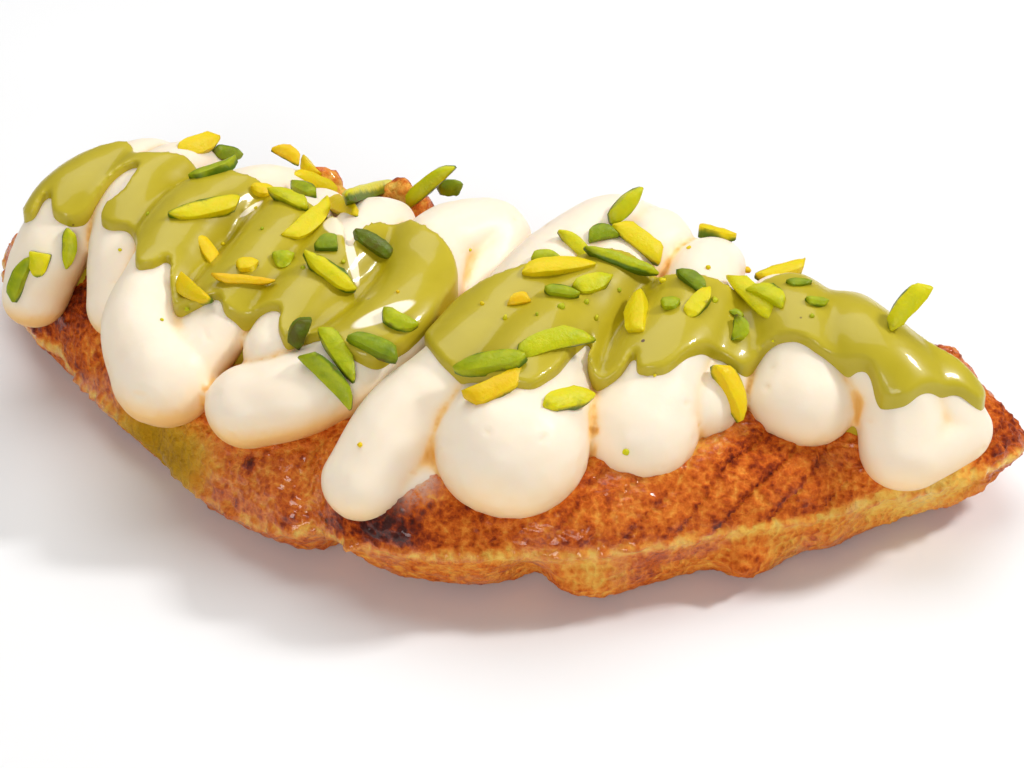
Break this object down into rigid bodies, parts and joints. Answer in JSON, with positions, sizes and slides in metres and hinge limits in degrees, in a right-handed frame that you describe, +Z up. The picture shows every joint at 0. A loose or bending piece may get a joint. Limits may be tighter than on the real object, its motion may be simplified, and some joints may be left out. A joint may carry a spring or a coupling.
{
  "type": "pistachio cheesecake croffle",
  "caption": "Flattened croissant topped with piped cheesecake cream, poured pistachio sauce and slivered pistachios, resting on a flat base.",
  "frame": {"origin": "under the middle of the bounding box, on the plane of the flat base", "axes": "+X along the croissant's length, towards its bluntly rounded right end; -Y towards its front, where the layered edge shows; +Z up"},
  "size_m": [0.182, 0.0814, 0.0436],
  "materials": {
    "crust": "caramelised crust, glossy in patches, over paler layered dough",
    "cream": "soft satin cream",
    "sauce": "wet and glossy",
    "pistachio": "cut nut, satin"
  },
  "bodies": {
    "root": {"croissant": "crust", "cream_left": "cream", "cream_right": "cream", "sauce_left": "sauce", "sauce_right": "sauce"}
  },
  "joints": []
}
